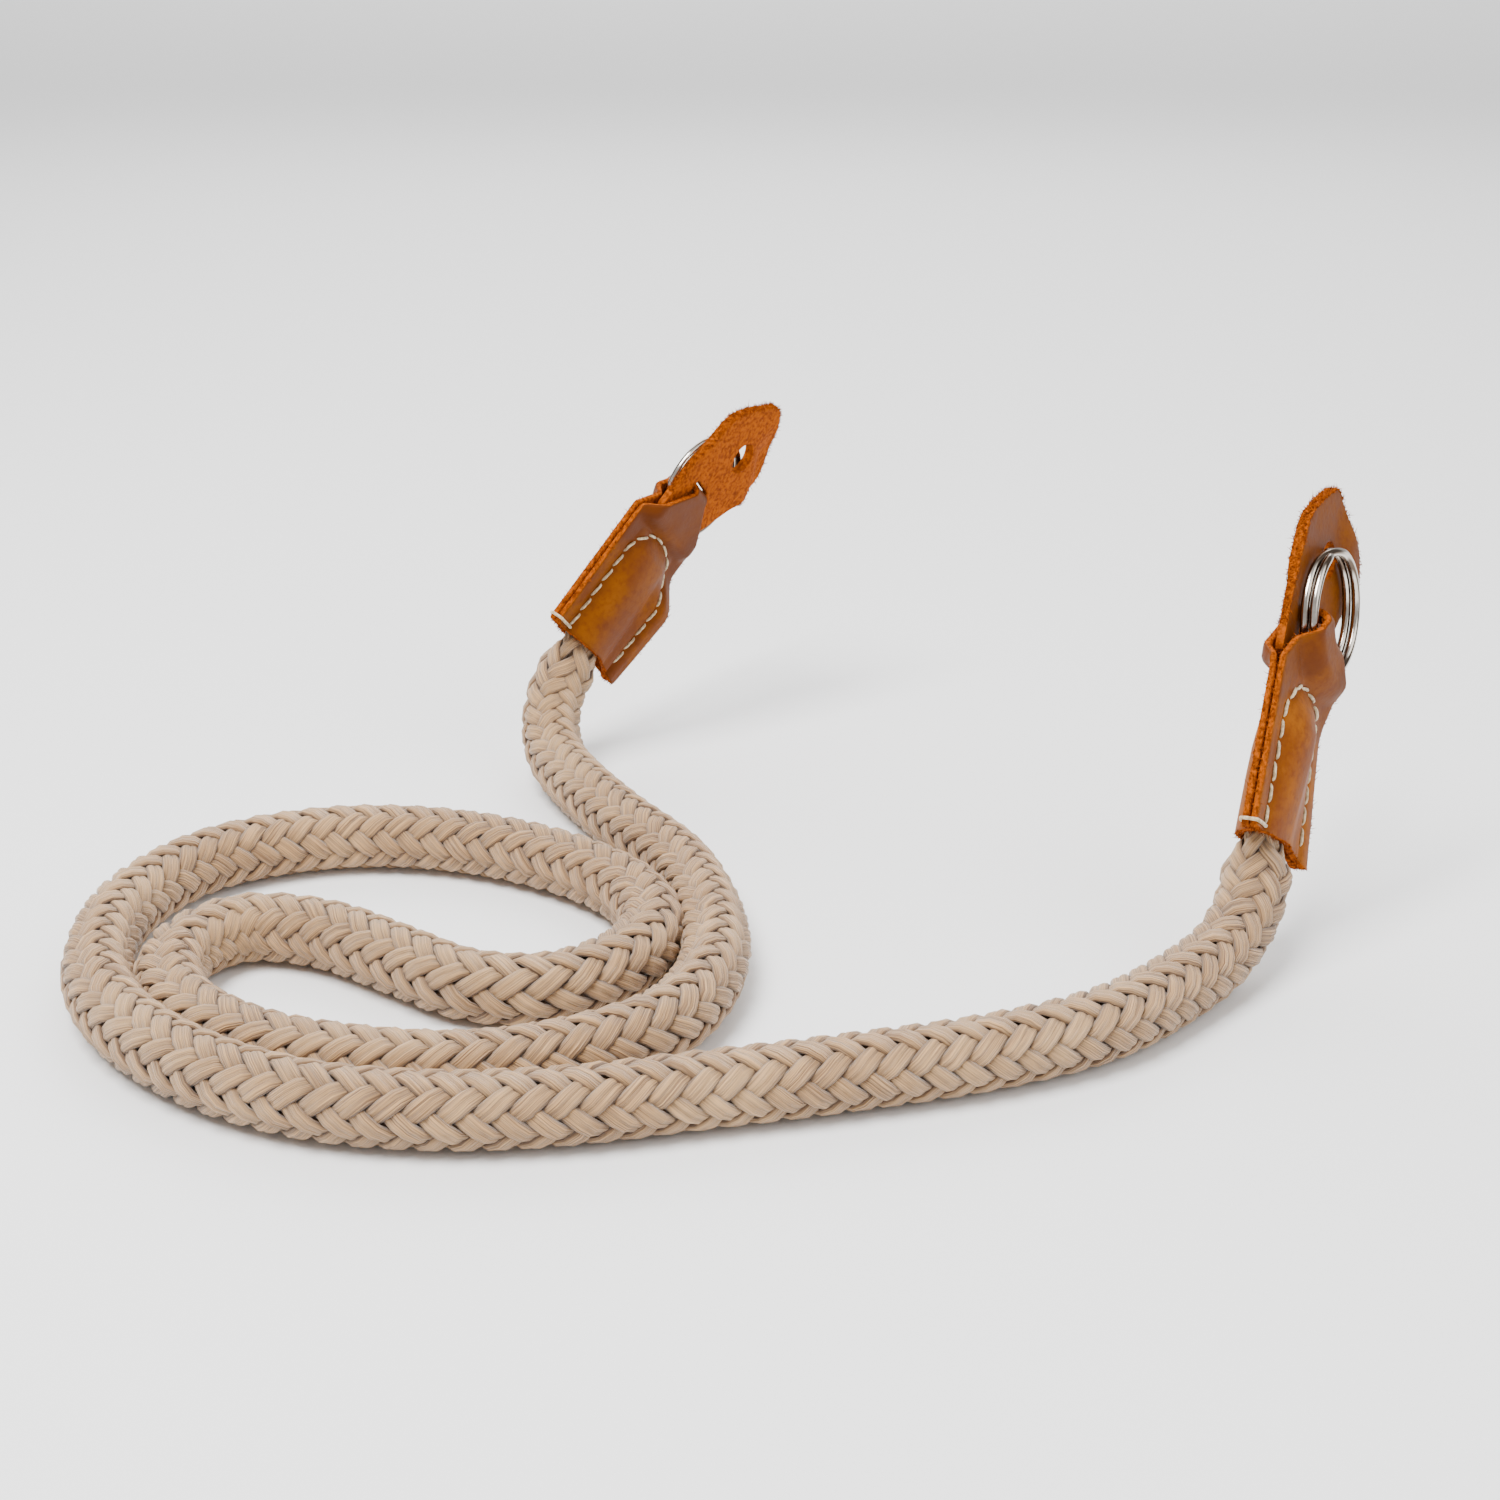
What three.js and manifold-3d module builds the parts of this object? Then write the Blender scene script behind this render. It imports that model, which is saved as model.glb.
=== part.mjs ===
// Camera neck strap: a braided rope laid in a loop, each end held in a stitched leather tab
// that folds through a split ring, with a leather guard disc behind the ring.
// Millimetres, +Z up. The origin is the hang point of the right ring.
import * as THREE from 'three';
import { mergeVertices } from 'three/addons/utils/BufferGeometryUtils.js';
import Module from 'manifold-3d';

const wasm = await Module();
wasm.setup();

// rope
const ROPE_DIAMETER = 11.5;
const ROPE_SIDES = 12;
const ROPE_STEPS = 84;
const ROPE_DENSE = { share: 0.055, steps: 0.14 };                  // closer steps near both sleeves
const ROPE_FLAT = { thick: 4.5, wide: 13.0, from: -5, to: 2.5 };   // pressed oval inside a sleeve
const FLOOR = -57.3;                                              // height of the surface it lies on

// leather
const LEATHER = 1.2;
const GAP = 0.3;
const TAB = { width: 24.5, shoulder: 30.5, neckWidth: 5.2, neckFoot: 39.4, apex: 41.7 };
const SEAM = { spacing: 16.5, top: 28.3, layerGap: 0.2 };
const MOUTH = { rim: 2.9, drop: 2.4 };
const FLARE = { until: 17, fade: 9 };

// split ring and guard
const RING = { radius: 10.2, wire: 1.46, pitch: 1.56, sides: 8, steps: 76 };
const RING_CENTRE = { across: 5.2, out: 1.5, up: 42.9 };
const HANG_UP = 52.1;                                             // height of the hang point on a tab
const PLATE = { thick: 1.4, disc: 12.3, hole: 6.2, foot: 31.6, tail: 17.0, curl: 1.8, curlFrom: 53, waist: 0.6 };
const SLOT = { width: 6.4, from: 39.5, to: 42.4 };
const YAW = 2;                                                    // ring and guard, degrees

// pose of each end: turned about up, then leaned, then swung in its own plane
const ENDS = [
  { side: 'right', mirror: 1, hang: [0, 0, 0], facing: 58.9, lean: -6.24, swing: 34.0, flare: 0 },
  { side: 'left', mirror: -1, hang: [-101.7, 79.8, -2.4], facing: -127.9, lean: -16.6, swing: -42.5, flare: 3.0 },
];

// heights of the leather's outer faces over the sleeve, from the mouth up
const SLEEVE = [
  { up: 0.0, front: 2.8, back: 5.4 },
  { up: 6.0, front: 3.2, back: 5.3 },
  { up: 12.0, front: 3.8, back: 5.2 },
  { up: 17.0, front: 4.2, back: 5.0 },
  { up: 21.0, front: 4.3, back: 4.5 },
  { up: 24.0, front: 3.4, back: 4.0 },
  { up: 26.5, front: 1.9, back: 2.4 },
  { up: 28.3, front: 1.3, back: 1.3 },
];
// rows of a panel: share of the height from rim to neck foot
const ROWS = [0, 0.1, 0.22, 0.35, 0.46, 0.55, 0.63, 0.7, 0.745, 0.785, 0.825, 0.865, 0.905, 0.95, 1];
// columns of a panel: share of its half width
const COLUMNS = [-1, -0.84, -0.68, -0.6, -0.46, -0.3, -0.14, 0.02, 0.18, 0.34, 0.5, 0.62, 0.7, 0.84, 1];
const FOLD_STEPS = 7;

// rope centre line, mm, from the right sleeve to the left one
const ROPE_ROUTE = [
  [-10.8, -19.5, -23.8], [-13.3, -24.5, -32.0], [-15.9, -29.5, -40.3], [-18.2, -34.5, -46.5],
  [-22.9, -41.2, -50.4], [-29.0, -48.2, -51.5], [-44.1, -62.6, -51.5], [-61.2, -70.8, -51.5],
  [-83.2, -77.1, -51.5], [-104.4, -82.0, -51.5], [-123.7, -86.2, -51.5], [-141.6, -87.3, -51.5],
  [-160.1, -84.1, -51.5], [-177.5, -75.1, -51.5], [-192.0, -60.5, -51.5], [-198.8, -44.6, -51.5],
  [-199.2, -23.7, -51.5], [-189.9, -6.3, -51.5], [-170.9, 2.7, -51.5], [-149.8, 1.9, -51.5],
  [-129.9, -7.1, -51.5], [-116.9, -19.9, -51.5], [-113.1, -32.7, -51.5], [-117.6, -44.6, -51.5],
  [-127.9, -52.1, -51.5], [-140.2, -51.2, -51.5], [-152.1, -43.0, -51.5], [-166.2, -33.7, -51.5],
  [-179.4, -32.0, -51.5], [-186.8, -41.3, -51.5], [-184.2, -55.9, -51.5], [-171.8, -68.0, -51.5],
  [-154.7, -74.3, -51.5], [-137.3, -75.9, -51.5], [-122.0, -71.4, -51.5], [-109.3, -62.0, -51.5],
  [-103.3, -46.3, -51.5], [-103.6, -29.1, -51.5], [-109.3, -8.3, -51.5], [-120.6, 10.4, -51.5],
  [-129.2, 26.5, -51.4], [-133.8, 37.0, -50.7], [-135.6, 45.0, -47.8], [-134.9, 50.6, -42.6],
  [-131.5, 53.6, -36.7], [-126.1, 57.9, -29.4], [-120.6, 62.2, -22.3],
];

const clamp01 = (v) => Math.min(1, Math.max(0, v));
const ease = (v) => { const c = clamp01(v); return c * c * (3 - 2 * c); };
const mix = (a, b, w) => a + (b - a) * w;
const turn = THREE.MathUtils.degToRad;

// value of a column of a table at a height
function along(table, up, key) {
  for (let i = 1; i < table.length; i += 1) {
    if (up <= table[i].up) {
      const w = clamp01((up - table[i - 1].up) / (table[i].up - table[i - 1].up));
      return mix(table[i - 1][key], table[i][key], w);
    }
  }
  return table[table.length - 1][key];
}

const HALF = TAB.width / 2;
const SEAM_HALF = SEAM.spacing / 2;
const LAYER = (LEATHER + SEAM.layerGap) / 2;
const RING_FRONT = RING_CENTRE.out + (RING.pitch + RING.wire) / 2;
const YAW_SLOPE = Math.tan(turn(YAW));
const PLATE_FRONT = (RING.pitch + RING.wire) / 2 - RING_CENTRE.out + GAP;
const PLATE_BACK = PLATE_FRONT + PLATE.thick;

// half width of the leather at a height: straight sides, then shoulders cut to the neck
function halfWidth(up) {
  const w = clamp01((up - TAB.shoulder) / (TAB.neckFoot - TAB.shoulder));
  return mix(HALF, TAB.neckWidth / 2, w);
}

// middle of the front leather, outward from the seam plane
function frontOut(x, up) {
  const bump = along(SLEEVE, up, 'front') - LEATHER / 2 - LAYER;
  const arch = 1 - Math.pow(clamp01(Math.abs(x) / SEAM_HALF), 2.6);
  const push = 1.5 * ease((up - 23) / 9) * ease((x - 1) / HALF);
  const low = LAYER + Math.max(0, bump) * arch + push;
  const r = Math.hypot(x - RING_CENTRE.across, up - RING_CENTRE.up);
  const over = RING_FRONT + GAP + LEATHER / 2 + 0.12 + (x - RING_CENTRE.across) * YAW_SLOPE;
  const cover = ease((RING.radius + 3.7 - r) / 2.6);
  const inside = ease((RING.radius - 2.4 - r) / 2.2);
  return mix(mix(low, over, cover), LEATHER + GAP, inside);
}

// middle of the back leather, inward from the seam plane
function backIn(x, up) {
  const bump = along(SLEEVE, up, 'back') - LEATHER / 2 - LAYER;
  const arch = 1 - Math.pow(clamp01(Math.abs(x) / SEAM_HALF), 2.6);
  const behind = PLATE_BACK + GAP + LEATHER / 2 + 0.15 - (x - RING_CENTRE.across) * YAW_SLOPE;
  const flank = 1 - ease((Math.abs(x) - PLATE.tail / 2 - GAP) / (HALF - PLATE.tail / 2));
  const cover = ease((up - SEAM.top + GAP) / 3) * flank;
  return mix(LAYER + Math.max(0, bump) * arch, behind, cover);
}

// both leathers bent inward together along one long edge
function flareIn(x, up, end) {
  return end.flare * ease((x - HALF / 3) / (HALF / 2)) * (1 - ease((up - FLARE.until) / FLARE.fade));
}

// closed solid from a grid of middle points, offset both ways along its normals
function leatherSolid(grid, thickness) {
  const rows = grid.length;
  const cols = grid[0].length;
  const normal = (i, j) => {
    const du = grid[Math.min(rows - 1, i + 1)][j].clone().sub(grid[Math.max(0, i - 1)][j]);
    const dv = grid[i][Math.min(cols - 1, j + 1)].clone().sub(grid[i][Math.max(0, j - 1)]);
    return dv.cross(du).normalize();
  };
  const points = [];
  for (const sign of [1, -1]) {
    for (let i = 0; i < rows; i += 1) {
      for (let j = 0; j < cols; j += 1) {
        points.push(grid[i][j].clone().addScaledVector(normal(i, j), sign * thickness / 2));
      }
    }
  }
  const at = (layer, i, j) => layer * rows * cols + i * cols + j;
  const index = [];
  const quad = (a, b, c, d) => index.push(a, b, c, a, c, d);
  for (let i = 0; i + 1 < rows; i += 1) {
    for (let j = 0; j + 1 < cols; j += 1) {
      quad(at(0, i, j), at(0, i, j + 1), at(0, i + 1, j + 1), at(0, i + 1, j));
      quad(at(1, i, j), at(1, i + 1, j), at(1, i + 1, j + 1), at(1, i, j + 1));
    }
    quad(at(0, i, 0), at(0, i + 1, 0), at(1, i + 1, 0), at(1, i, 0));
    quad(at(0, i + 1, cols - 1), at(0, i, cols - 1), at(1, i, cols - 1), at(1, i + 1, cols - 1));
  }
  for (let j = 0; j + 1 < cols; j += 1) {
    quad(at(0, 0, j + 1), at(0, 0, j), at(1, 0, j), at(1, 0, j + 1));
    quad(at(0, rows - 1, j), at(0, rows - 1, j + 1), at(1, rows - 1, j + 1), at(1, rows - 1, j));
  }
  const geometry = new THREE.BufferGeometry();
  geometry.setAttribute('position', new THREE.Float32BufferAttribute(points.flatMap((p) => p.toArray()), 3));
  geometry.setIndex(index);
  return geometry;
}

// one strip: up the front, through the ring, down the back
function tabGeometry(end) {
  const rim = (x) => MOUTH.rim - MOUTH.drop * Math.pow(Math.max(0, x / HALF), 2);
  const row = (share, face) => COLUMNS.map((c) => {
    const low = rim(c * HALF);
    const up = mix(low, TAB.neckFoot, share);
    const x = c * halfWidth(up);
    return new THREE.Vector3(x, flareIn(x, up, end) + (face === 'front' ? -frontOut(x, up) : backIn(x, up)), up);
  });
  const front = ROWS.map((share) => row(share, 'front'));
  const back = ROWS.map((share) => row(share, 'back')).reverse();
  const rise = TAB.apex - LEATHER / 2 - TAB.neckFoot;
  const fold = [];
  for (let k = 1; k < FOLD_STEPS; k += 1) {
    const angle = Math.PI * k / FOLD_STEPS;
    fold.push(front[front.length - 1].map((p, j) => {
      const q = back[0][j];
      const half = (q.y - p.y) / 2;
      return new THREE.Vector3(p.x, p.y + half * (1 - Math.cos(angle)), p.z + rise * Math.sin(angle));
    }));
  }
  return leatherSolid([...front, ...fold, ...back], LEATHER);
}

// wire wound twice round, crossing over from one coil to the other
class CoilPath extends THREE.Curve {
  getPoint(t, target = new THREE.Vector3()) {
    const angle = turn(130) + t * (4 * Math.PI - turn(14));
    const shift = RING.pitch * (ease((t - 0.46) / 0.08) - 0.5);
    return target.set(RING.radius * Math.cos(angle), shift, RING.radius * Math.sin(angle));
  }
}

function ringGeometry() {
  const wire = new THREE.Shape();
  for (let k = 0; k < RING.sides; k += 1) {
    const a = 2 * Math.PI * k / RING.sides;
    const p = [RING.wire / 2 * Math.cos(a), RING.wire / 2 * Math.sin(a)];
    if (k === 0) wire.moveTo(...p); else wire.lineTo(...p);
  }
  const geometry = new THREE.ExtrudeGeometry(wire, { steps: RING.steps, extrudePath: new CoilPath() });
  return geometry
    .applyMatrix4(new THREE.Matrix4().makeRotationZ(-turn(YAW)))
    .translate(RING_CENTRE.across, -RING_CENTRE.out, RING_CENTRE.up);
}

// disc with a hole for the hang point, a tail between the panels and a slot for the neck
function guardGeometry() {
  const centre = { x: RING_CENTRE.across, up: HANG_UP };
  const outline = new THREE.Shape();
  const tailHalf = PLATE.tail / 2;
  const from = turn(-148);
  const to = turn(-32) + 2 * Math.PI;
  const discSteps = 30;
  const points = [];
  for (let k = 0; k <= discSteps; k += 1) {
    const a = turn(-32) + (2 * Math.PI - (turn(-32) - from)) * k / discSteps;
    const narrow = 1 - PLATE.waist * Math.max(0, Math.sin(a)) ** 2;
    points.push([centre.x + PLATE.disc * narrow * Math.cos(a), centre.up + PLATE.disc * Math.sin(a)]);
  }
  const tail = [
    { across: -1, up: 0.42 }, { across: -1, up: 0.16 }, { across: -0.86, up: 0.05 },
    { across: -0.66, up: 0 }, { across: 0.66, up: 0 }, { across: 0.86, up: 0.05 },
    { across: 1, up: 0.16 }, { across: 1, up: 0.42 },
  ];
  const tailRise = RING_CENTRE.up - PLATE.foot;
  for (const t of tail) points.push([t.across * tailHalf, PLATE.foot + t.up * tailRise]);
  points.forEach((p, k) => (k === 0 ? outline.moveTo(...p) : outline.lineTo(...p)));
  outline.closePath();
  const hole = new THREE.Path();
  hole.absarc(centre.x, centre.up, PLATE.hole / 2, 0, 2 * Math.PI, true);
  outline.holes.push(hole);
  const slot = new THREE.Path();
  slot.moveTo(-SLOT.width / 2, SLOT.from);
  slot.lineTo(-SLOT.width / 2, SLOT.to);
  slot.lineTo(SLOT.width / 2, SLOT.to);
  slot.lineTo(SLOT.width / 2, SLOT.from);
  slot.closePath();
  outline.holes.push(slot);
  const geometry = new THREE.ExtrudeGeometry(outline, { depth: PLATE.thick, bevelEnabled: false, curveSegments: 8 });
  const position = geometry.attributes.position;
  for (let k = 0; k < position.count; k += 1) {
    const x = position.getX(k);
    const up = position.getY(k);
    const reach = Math.max(0, (up - PLATE.curlFrom) / (HANG_UP + PLATE.disc - PLATE.curlFrom));
    position.setXYZ(k, x - RING_CENTRE.across, PLATE_BACK - position.getZ(k) - PLATE.curl * reach * reach, up);
  }
  geometry.applyMatrix4(new THREE.Matrix4().makeRotationZ(-turn(YAW)));
  return geometry.translate(RING_CENTRE.across, 0, 0);
}

// frame of an end: the tab's own axes turned into place about its hang point
function endMatrix(end) {
  const rotation = new THREE.Euler(turn(end.lean), turn(end.swing), turn(end.facing), 'ZXY');
  const matrix = new THREE.Matrix4().makeRotationFromEuler(rotation);
  matrix.setPosition(...end.hang);
  const toHang = new THREE.Matrix4().makeTranslation(
    -end.mirror * RING_CENTRE.across, RING_CENTRE.out, -HANG_UP);
  return matrix.multiply(toHang);
}

function rounded(geometry, outward = 1) {
  geometry.deleteAttribute('normal');
  geometry.deleteAttribute('uv');
  const merged = mergeVertices(geometry, 1e-4);
  const index = merged.getIndex();
  if (outward < 0) {
    for (let k = 0; k < index.count; k += 3) {
      const a = index.getX(k);
      index.setX(k, index.getX(k + 1));
      index.setX(k + 1, a);
    }
  }
  merged.computeVertexNormals();
  return merged;
}

function placed(geometry, end) {
  geometry.applyMatrix4(new THREE.Matrix4().makeScale(end.mirror, 1, 1));
  geometry.applyMatrix4(endMatrix(end));
  return rounded(geometry, end.mirror);
}

// steps lie closer together near both ends of the rope
class RopePath extends THREE.CatmullRomCurve3 {
  getUtoTmapping(u) {
    const { share, steps } = ROPE_DENSE;
    const edge = Math.min(u, 1 - u);
    const slope = (1 - 2 * share) / (1 - 2 * steps);
    const even = edge < steps ? edge * share / steps : share + (edge - steps) * slope;
    return super.getUtoTmapping(u <= 1 / 2 ? even : 1 - even);
  }
}

// rope as a round tube, pressed to an oval where it runs into each sleeve
function ropeGeometry() {
  const curve = new RopePath(ROPE_ROUTE.map((p) => new THREE.Vector3(...p)), false, 'centripetal');
  curve.arcLengthDivisions = 2000;
  const round = new THREE.Shape();
  for (let k = 0; k < ROPE_SIDES; k += 1) {
    const a = 2 * Math.PI * k / ROPE_SIDES;
    const p = [ROPE_DIAMETER / 2 * Math.cos(a), ROPE_DIAMETER / 2 * Math.sin(a)];
    if (k === 0) round.moveTo(...p); else round.lineTo(...p);
  }
  const geometry = new THREE.ExtrudeGeometry(round, { steps: ROPE_STEPS, extrudePath: curve });
  const position = geometry.attributes.position;
  const point = new THREE.Vector3();
  for (const end of ENDS) {
    const matrix = endMatrix(end);
    const inverse = matrix.clone().invert();
    const line = curve.getPoints(900).map((p) => p.applyMatrix4(inverse));
    for (let k = 0; k < position.count; k += 1) {
      point.fromBufferAttribute(position, k).applyMatrix4(inverse);
      const near = point.z > ROPE_FLAT.from - 6 && Math.abs(point.x) < TAB.width && Math.abs(point.y) < TAB.width;
      if (near) {
        let best = line[0];
        for (const q of line) if (q.distanceToSquared(point) < best.distanceToSquared(point)) best = q;
        const press = ease((best.z - ROPE_FLAT.from) / (ROPE_FLAT.to - ROPE_FLAT.from));
        point.x = best.x + (point.x - best.x) * mix(1, ROPE_FLAT.wide / ROPE_DIAMETER, press);
        point.y = best.y + (point.y - best.y) * mix(1, ROPE_FLAT.thick / ROPE_DIAMETER, press);
        point.applyMatrix4(matrix);
        position.setXYZ(k, point.x, point.y, point.z);
      }
    }
  }
  return rounded(geometry);
}

const leather = new THREE.MeshStandardMaterial({ color: 0xaf6928, roughness: 0.6, name: 'leather' });
const metal = new THREE.MeshStandardMaterial({ color: 0xc8c4bc, roughness: 0.2, metalness: 1, name: 'steel' });
const fibre = new THREE.MeshStandardMaterial({ color: 0xcdaf91, roughness: 0.8, name: 'rope_fibre' });

function named(name, geometry, material) {
  const mesh = new THREE.Mesh(geometry, material);
  mesh.name = name;
  return mesh;
}

const group = new THREE.Group();
group.name = 'camera_neck_strap';
group.add(named('rope', ropeGeometry(), fibre));
for (const end of ENDS) {
  group.add(named(`tab_${end.side}`, placed(tabGeometry(end), end), leather));
  group.add(named(`guard_${end.side}`, placed(guardGeometry(), end), leather));
  group.add(named(`split_ring_${end.side}`, placed(ringGeometry(), end), metal));
}

export default group;
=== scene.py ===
import bpy, bmesh, math
import numpy as np
from mathutils import Euler, Matrix, Vector


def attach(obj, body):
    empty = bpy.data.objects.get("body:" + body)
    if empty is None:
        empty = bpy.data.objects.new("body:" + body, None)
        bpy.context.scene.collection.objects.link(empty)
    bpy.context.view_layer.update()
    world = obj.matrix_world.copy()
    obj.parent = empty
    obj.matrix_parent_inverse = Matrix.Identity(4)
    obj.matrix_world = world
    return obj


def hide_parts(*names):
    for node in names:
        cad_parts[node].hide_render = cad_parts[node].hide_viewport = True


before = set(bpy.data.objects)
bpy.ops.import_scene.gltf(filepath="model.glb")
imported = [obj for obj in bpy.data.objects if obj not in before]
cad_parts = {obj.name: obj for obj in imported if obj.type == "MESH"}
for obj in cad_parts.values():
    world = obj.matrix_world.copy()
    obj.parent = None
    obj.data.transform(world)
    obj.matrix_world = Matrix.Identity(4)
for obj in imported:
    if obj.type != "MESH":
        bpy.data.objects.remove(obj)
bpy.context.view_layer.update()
rng = np.random.default_rng(7)
mm = 0.001  # sizes below are in millimetres, and become metres where a mesh is made


def ease(v):  # 0 to 1 with soft ends
    v = np.clip(v, 0, 1)
    return v * v * (3 - 2 * v)


def mix(a, b, w):
    return a + (b - a) * w


def ripple(x, y, scale, seed, waves=7):  # a few plain waves, each in its own direction
    r = np.random.default_rng(seed)
    out = 0 * x
    for _ in range(waves):
        a, f, p = r.uniform(0, 6.28), scale * r.uniform(0.6, 1.6), r.uniform(0, 6.28)
        out = out + np.sin((x * math.cos(a) + y * math.sin(a)) * f + p)
    return out / waves


# shader helpers
def node(tree, kind, **settings):
    n = tree.nodes.new("ShaderNode" + kind)
    for k, v in settings.items():
        setattr(n, k, v)
    return n


def noise(tree, at, scale, detail, rough=0.6):
    n = node(tree, "TexNoise")
    for socket, v in (("Scale", scale), ("Detail", detail), ("Roughness", rough)):
        n.inputs[socket].default_value = v
    tree.links.new(at, n.inputs["Vector"])
    return n.outputs["Fac"]


def ramp(tree, at, low, high, least=0.0, most=1.0):
    n = node(tree, "MapRange", clamp=True, interpolation_type="SMOOTHSTEP")
    for i, v in enumerate((low, high, least, most), 1):
        n.inputs[i].default_value = v
    tree.links.new(at, n.inputs[0])
    return n.outputs[0]


def blendColor(tree, w, a, b):  # a and b are colours or sockets
    n = node(tree, "Mix", data_type="RGBA")
    for i, v in ((6, a), (7, b)):
        if isinstance(v, tuple):
            n.inputs[i].default_value = (*v, 1)
        else:
            tree.links.new(v, n.inputs[i])
    tree.links.new(w, n.inputs[0])
    return n.outputs[2]


def bump(tree, height, strength, distance, into):
    b = node(tree, "Bump")
    b.inputs["Strength"].default_value = strength
    b.inputs["Distance"].default_value = distance
    tree.links.new(height, b.inputs["Height"])
    tree.links.new(b.outputs[0], into.inputs["Normal"])


def shade(name, rough, metal=0.0, sheen=0.0):
    m = bpy.data.materials.new(name)
    m.use_nodes = True
    t = m.node_tree
    p = t.nodes["Principled BSDF"]
    p.inputs["Roughness"].default_value = rough
    p.inputs["Metallic"].default_value = metal
    p.inputs["Sheen Weight"].default_value = sheen
    return m, t, p


# uneven tone that the finishes share: Mask runs from Least to Most, Height is the noise itself
mottleInputs = dict(Scale=100, Detail=3, Low=0.3, High=0.7, Least=0, Most=1)


def buildMottle():
    g = bpy.data.node_groups.new("mottle", "ShaderNodeTree")
    for n, v in mottleInputs.items():
        g.interface.new_socket(n, in_out="INPUT", socket_type="NodeSocketFloat").default_value = v
    for n in ("Mask", "Height"):
        g.interface.new_socket(n, in_out="OUTPUT", socket_type="NodeSocketFloat")
    given, out = g.nodes.new("NodeGroupInput"), g.nodes.new("NodeGroupOutput")
    fac = noise(g, node(g, "TexCoord").outputs["Object"], mottleInputs["Scale"], mottleInputs["Detail"])
    mask = ramp(g, fac, mottleInputs["Low"], mottleInputs["High"])
    for n in ("Scale", "Detail"):
        g.links.new(given.outputs[n], fac.node.inputs[n])
    for i, n in enumerate(("Low", "High", "Least", "Most"), 1):
        g.links.new(given.outputs[n], mask.node.inputs[i])
    g.links.new(mask, out.inputs["Mask"])
    g.links.new(fac, out.inputs["Height"])
    return g


mottleGroup = buildMottle()


def mottle(tree, scale, detail=3, low=0.3, high=0.7, least=0, most=1):
    n = tree.nodes.new("ShaderNodeGroup")
    n.node_tree = mottleGroup
    for k, v in zip(mottleInputs, (scale, detail, low, high, least, most)):
        n.inputs[k].default_value = v
    return n.outputs["Mask"], n.outputs["Height"]


# finishes; the colours are linear, the reliefs in metres; fibre's gap colour is painted crease shade, plating's
# reflected colour a painted reflection
fibre = dict(dark=(0.14, 0.062, 0.018), light=(0.68, 0.385, 0.155), faded=(0.74, 0.46, 0.215),
             gap=(0.055, 0.02, 0.005), drawn=(4, 34, 1), relief=0.0005, silky=0.3, dull=0.62)
hide = dict(deep=(0.16, 0.037, 0.0002), pale=(0.30, 0.087, 0.0003), scuff=(0.11, 0.022, 0.0006),
            darkAndShadowTone=(0.085, 0.018, 0.0005), cloud=95, scuffs=900, pores=1500, poreShare=0.35, relief=0.00015)
rawHide = dict(deep=(0.15, 0.028, 0.0004), pale=(0.36, 0.075, 0.0008), stain=(0.10, 0.018, 0.001),
               fuzz=1300, stains=420, relief=0.0003)
yarn = dict(deep=(0.34, 0.24, 0.12), pale=(0.68, 0.55, 0.34), ply=1500, relief=0.0002)
plating = dict(dull=(0.44, 0.39, 0.34), bright=(0.70, 0.645, 0.58), reflected=(0.10, 0.07, 0.05), patches=300)
backdrop = dict(color=(0.86, 0.86, 0.86), rough=0.7)


def ropeFibre():
    m, t, p = shade("ropeFibre", 0.6, sheen=0.3)
    p.inputs["Anisotropic"].default_value = 0.5
    drawn = node(t, "Mapping")  # streaks run along each strand
    drawn.inputs["Scale"].default_value = fibre["drawn"]
    t.links.new(node(t, "UVMap", uv_map="strand").outputs[0], drawn.inputs["Vector"])
    streak = noise(t, drawn.outputs[0], 1.0, 4)
    creaseShade = node(t, "Attribute", attribute_name="creaseShade").outputs["Fac"]
    c = blendColor(t, ramp(t, streak, 0.32, 0.68), fibre["dark"], fibre["light"])
    c = blendColor(t, mottle(t, 55, low=0.4, most=0.35)[0], c, fibre["faded"])
    # painted shade: the gap colour darkens the creases between strands and their borders
    c = blendColor(t, creaseShade, c, fibre["gap"])
    t.links.new(c, p.inputs["Base Color"])
    t.links.new(ramp(t, streak, 0.3, 0.7, fibre["dull"], fibre["silky"]), p.inputs["Roughness"])
    bump(t, streak, 1.0, fibre["relief"], p)
    return m


def leatherFace():
    m, t, p = shade("leatherFace", 0.5)
    p.inputs["Specular IOR Level"].default_value = 0.1
    cloud = mottle(t, hide["cloud"], 4, 0.32, 0.68)[0]
    scuff, fine = mottle(t, hide["scuffs"], low=0.42, high=0.75, most=0.55)
    darkAndShadow = node(t, "Attribute", attribute_name="darkAndShadow").outputs["Fac"]
    c = blendColor(t, cloud, hide["deep"], hide["pale"])
    c = blendColor(t, scuff, c, hide["scuff"])
    # darker patches, and over the whole left end a painted shadow
    c = blendColor(t, darkAndShadow, c, hide["darkAndShadowTone"])
    t.links.new(c, p.inputs["Base Color"])
    t.links.new(mottle(t, hide["cloud"], 4, least=0.46, most=0.62)[0], p.inputs["Roughness"])
    pores = node(t, "TexVoronoi")
    pores.inputs["Scale"].default_value = hide["pores"]
    t.links.new(node(t, "TexCoord").outputs["Object"], pores.inputs["Vector"])
    both = node(t, "Math", operation="MULTIPLY_ADD")
    both.inputs[1].default_value = hide["poreShare"]
    t.links.new(pores.outputs["Distance"], both.inputs[0])
    t.links.new(fine, both.inputs[2])
    bump(t, both.outputs[0], 0.3, hide["relief"], p)
    return m


def leatherEdge():
    m, t, p = shade("leatherEdge", 0.9)
    p.inputs["Specular IOR Level"].default_value = 0.08
    loose, height = mottle(t, rawHide["fuzz"], 5, 0.33, 0.62)
    c = blendColor(t, loose, rawHide["deep"], rawHide["pale"])
    c = blendColor(t, mottle(t, rawHide["stains"], low=0.52, high=0.75, most=0.4)[0], c, rawHide["stain"])
    t.links.new(c, p.inputs["Base Color"])
    bump(t, height, 0.7, rawHide["relief"], p)
    return m


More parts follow.
